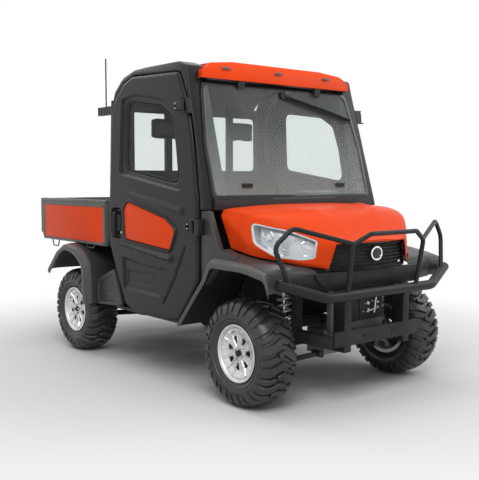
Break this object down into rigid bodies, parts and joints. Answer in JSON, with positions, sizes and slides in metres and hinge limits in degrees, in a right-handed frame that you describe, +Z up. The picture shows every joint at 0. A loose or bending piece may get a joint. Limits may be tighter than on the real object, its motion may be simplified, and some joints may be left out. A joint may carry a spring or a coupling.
{
  "type": "side by side utility vehicle",
  "caption": "Side by side utility vehicle with a closed cab, hinged doors and hood, a tipping cargo bed with tailgate, steered front wheels and a tubular brush guard.",
  "frame": {"origin": "on the ground, at the bottom centre of the vehicle's bounding box", "axes": "+Z up, -Y is forward, -X is the vehicle's right side"},
  "size_m": [1.67, 3.202, 2.2025],
  "materials": {
    "frame_steel": "satin black",
    "guard_black": "satin black powder coat",
    "body_plastic": "grained black",
    "door_plastic": "grained charcoal",
    "orange_paint": "gloss orange",
    "bed_steel": "satin grey green",
    "trim_black": "gloss black",
    "clear_glass": "tinted",
    "lamp_lens": "clear",
    "lamp_red": "clear red",
    "rim_alloy": "machined",
    "tyre_rubber": "matt",
    "cast_grey": "cast",
    "steel_bright": "plated",
    "seat_vinyl": "grained vinyl",
    "grip_rubber": "soft"
  },
  "bodies": {
    "vehicle": {"chassis_frame": "frame_steel", "bed_subframe": "frame_steel", "powertrain": "cast_grey", "half_shafts": "grip_rubber", "suspension_arms": "frame_steel", "dampers": "steel_bright", "cab_tub": "body_plastic", "front_fenders": "body_plastic", "front_fascia": "body_plastic", "rear_fenders": "body_plastic", "side_covers": "body_plastic", "cab_frame": "trim_black", "roof_panel": "orange_paint", "windscreen": "clear_glass", "windscreen_fittings": "trim_black", "cowl": "body_plastic", "rear_wall": "body_plastic", "rear_window": "clear_glass", "dashboard": "body_plastic", "seat_base": "body_plastic", "driver_cushion": "seat_vinyl", "passenger_cushion": "seat_vinyl", "driver_seat_back": "seat_vinyl", "passenger_seat_back": "seat_vinyl", "headrests": "seat_vinyl", "door_hinge_mounts": "guard_black", "front_bumper": "guard_black", "brush_guard": "guard_black", "antenna": "trim_black", "tail_lamps": "lamp_red"},
    "hood": {"hood": "orange_paint", "headlamps": "lamp_lens", "grille": "trim_black"},
    "door_left": {"door_shell_left": "door_plastic", "door_glass_left": "clear_glass", "door_inlay_left": "orange_paint", "door_hardware_left": "guard_black"},
    "door_right": {"door_shell_right": "door_plastic", "door_glass_right": "clear_glass", "door_inlay_right": "orange_paint", "door_hardware_right": "guard_black"},
    "bed": {"bed_floor": "bed_steel", "bed_walls": "bed_steel", "bed_inlays": "orange_paint"},
    "tailgate": {"tailgate": "orange_paint"},
    "hoist_barrel": {"hoist_barrel": "guard_black"},
    "hoist_rod": {"hoist_rod": "steel_bright"},
    "steering_wheel": {"steering_wheel": "grip_rubber"},
    "steering_rack": {"steering_rack": "steel_bright"},
    "knuckle_left": {"knuckle_left": "cast_grey"},
    "knuckle_right": {"knuckle_right": "cast_grey"},
    "wheel_front_left": {"rim_front_left": "rim_alloy", "tyre_front_left": "tyre_rubber"},
    "wheel_front_right": {"rim_front_right": "rim_alloy", "tyre_front_right": "tyre_rubber"},
    "wheel_rear_left": {"rim_rear_left": "rim_alloy", "tyre_rear_left": "tyre_rubber"},
    "wheel_rear_right": {"rim_rear_right": "rim_alloy", "tyre_rear_right": "tyre_rubber"}
  },
  "joints": [
    {"name": "hood_hinge", "type": "hinge", "parent": "vehicle", "child": "hood", "pos_m": [0, -0.803, 1.1555], "axis": [-1, 0, 0], "range_deg": [0, 50]},
    {"name": "door_left_hinge", "type": "hinge", "parent": "vehicle", "child": "door_left", "pos_m": [0.79, -0.678, 1.038], "axis": [0, -0.1314, -0.9913], "range_deg": [0, 75]},
    {"name": "door_right_hinge", "type": "hinge", "parent": "vehicle", "child": "door_right", "pos_m": [-0.79, -0.678, 1.038], "axis": [0, 0.1314, 0.9913], "range_deg": [0, 75]},
    {"name": "bed_hinge", "type": "hinge", "parent": "vehicle", "child": "bed", "pos_m": [0, 1.4, 0.85], "axis": [-1, 0, 0], "range_deg": [0, 40]},
    {"name": "tailgate_hinge", "type": "hinge", "parent": "bed", "child": "tailgate", "pos_m": [0, 1.545, 0.872], "axis": [-1, 0, 0], "range_deg": [0, 90]},
    {"name": "hoist_foot", "type": "hinge", "parent": "vehicle", "child": "hoist_barrel", "pos_m": [0, 1.26, 0.55], "axis": [-1, 0, 0], "range_deg": [0, 17.6]},
    {"name": "hoist_stroke", "type": "slide", "parent": "hoist_barrel", "child": "hoist_rod", "axis": [0, -0.5391, 0.8423], "range_m": [0, 0.1785]},
    {"name": "steering_wheel_turn", "type": "hinge", "parent": "vehicle", "child": "steering_wheel", "pos_m": [0.33, -0.343, 1.095], "axis": [0, 0.8192, 0.5736], "range_deg": [-450, 450]},
    {"name": "rack_slide", "type": "slide", "parent": "vehicle", "child": "steering_rack", "axis": [-1, 0, 0], "range_m": [-0.0555, 0.0555]},
    {"name": "steer_left", "type": "hinge", "parent": "vehicle", "child": "knuckle_left", "pos_m": [0.53, -1.047, 0.3175], "axis": [0, 0, 1], "range_deg": [-28, 28]},
    {"name": "steer_right", "type": "hinge", "parent": "vehicle", "child": "knuckle_right", "pos_m": [-0.53, -1.047, 0.3175], "axis": [0, 0, 1], "range_deg": [-28, 28]},
    {"name": "wheel_front_left_spin", "type": "hinge", "parent": "knuckle_left", "child": "wheel_front_left", "pos_m": [0.645, -1.047, 0.3175], "axis": [1, 0, 0], "continuous": true},
    {"name": "wheel_front_right_spin", "type": "hinge", "parent": "knuckle_right", "child": "wheel_front_right", "pos_m": [-0.645, -1.047, 0.3175], "axis": [1, 0, 0], "continuous": true},
    {"name": "wheel_rear_left_spin", "type": "hinge", "parent": "vehicle", "child": "wheel_rear_left", "pos_m": [0.645, 0.963, 0.3175], "axis": [1, 0, 0], "continuous": true},
    {"name": "wheel_rear_right_spin", "type": "hinge", "parent": "vehicle", "child": "wheel_rear_right", "pos_m": [-0.645, 0.963, 0.3175], "axis": [1, 0, 0], "continuous": true}
  ],
  "couplings": [
    {"joint": "steer_right", "follows": "steer_left", "ratio": 1},
    {"joint": "steering_wheel_turn", "follows": "steer_left", "ratio": 16},
    {"joint": "rack_slide", "follows": "steer_left", "m_per_rad": 0.1114},
    {"joint": "hoist_foot", "follows": "bed_hinge", "ratio": 0.4365},
    {"joint": "hoist_stroke", "follows": "bed_hinge", "m_per_rad": 0.2547}
  ]
}
